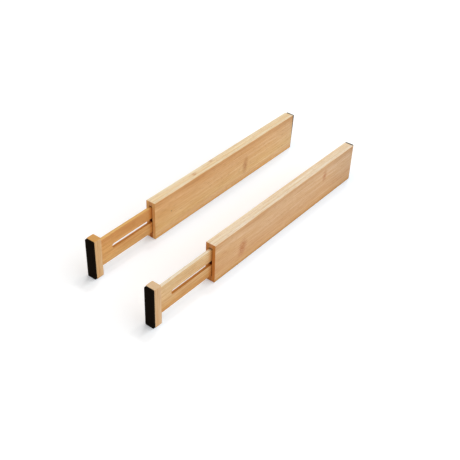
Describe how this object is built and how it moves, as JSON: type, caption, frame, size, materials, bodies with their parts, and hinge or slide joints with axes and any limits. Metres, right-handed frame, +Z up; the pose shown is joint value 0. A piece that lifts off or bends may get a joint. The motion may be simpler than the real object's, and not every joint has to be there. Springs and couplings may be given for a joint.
{
  "type": "expandable drawer divider set",
  "caption": "Set of spring-loaded bamboo drawer dividers: slim hollow housings whose slotted tongues slide out to brace foam-padded ends across a drawer.",
  "frame": {"origin": "centre of the first divider's housing, on the surface that it stands on", "axes": "+X along the first divider from its head to its closed end, +Y from the second divider to the first, +Z up"},
  "size_m": [0.4731, 0.1408, 0.06],
  "materials": {
    "bamboo_panel": "satin lacquer over fine long grain",
    "bamboo_rail": "satin lacquer, pale edge grain",
    "bamboo_tongue": "satin lacquer, warmer long grain",
    "bamboo_head": "satin lacquer, upright grain",
    "foam_pad": "matt closed-cell foam",
    "steel": "plain drawn wire nails",
    "spring_steel": "plain drawn spring wire"
  },
  "bodies": {
    "divider1_housing": {"divider1_left_panel": "bamboo_panel", "divider1_right_panel": "bamboo_panel", "divider1_top_rail": "bamboo_rail", "divider1_bottom_rail": "bamboo_rail", "divider1_end_block": "bamboo_rail", "divider1_end_pad": "foam_pad", "divider1_stop_peg": "bamboo_rail", "divider1_stop_nail": "steel", "divider1_spring": "spring_steel", "divider1_spring_peg": "bamboo_rail"},
    "divider1_slider": {"divider1_tongue": "bamboo_tongue", "divider1_head_block": "bamboo_head", "divider1_head_pad": "foam_pad", "divider1_head_brads": "steel"},
    "divider2_housing": {"divider2_left_panel": "bamboo_panel", "divider2_right_panel": "bamboo_panel", "divider2_top_rail": "bamboo_rail", "divider2_bottom_rail": "bamboo_rail", "divider2_end_block": "bamboo_rail", "divider2_end_pad": "foam_pad", "divider2_stop_peg": "bamboo_rail", "divider2_stop_nail": "steel", "divider2_spring": "spring_steel", "divider2_spring_peg": "bamboo_rail"},
    "divider2_slider": {"divider2_tongue": "bamboo_tongue", "divider2_head_block": "bamboo_head", "divider2_head_pad": "foam_pad", "divider2_head_brads": "steel"}
  },
  "joints": [
    {"name": "divider1_slide", "type": "slide", "parent": "divider1_housing", "child": "divider1_slider", "axis": [1, 0, 0], "range_m": [0, 0.0995], "stiffness_N_per_m": 120, "springref_m": -0.06, "deforming": ["divider1_spring"]},
    {"name": "divider_spacing", "type": "slide", "parent": "divider1_housing", "child": "divider2_housing", "axis": [0, 1, 0], "range_m": [-0.2, 0.1]},
    {"name": "divider2_slide", "type": "slide", "parent": "divider2_housing", "child": "divider2_slider", "axis": [0.9999, -0.0131, 0], "range_m": [0, 0.0995], "stiffness_N_per_m": 120, "springref_m": -0.06, "deforming": ["divider2_spring"]}
  ]
}
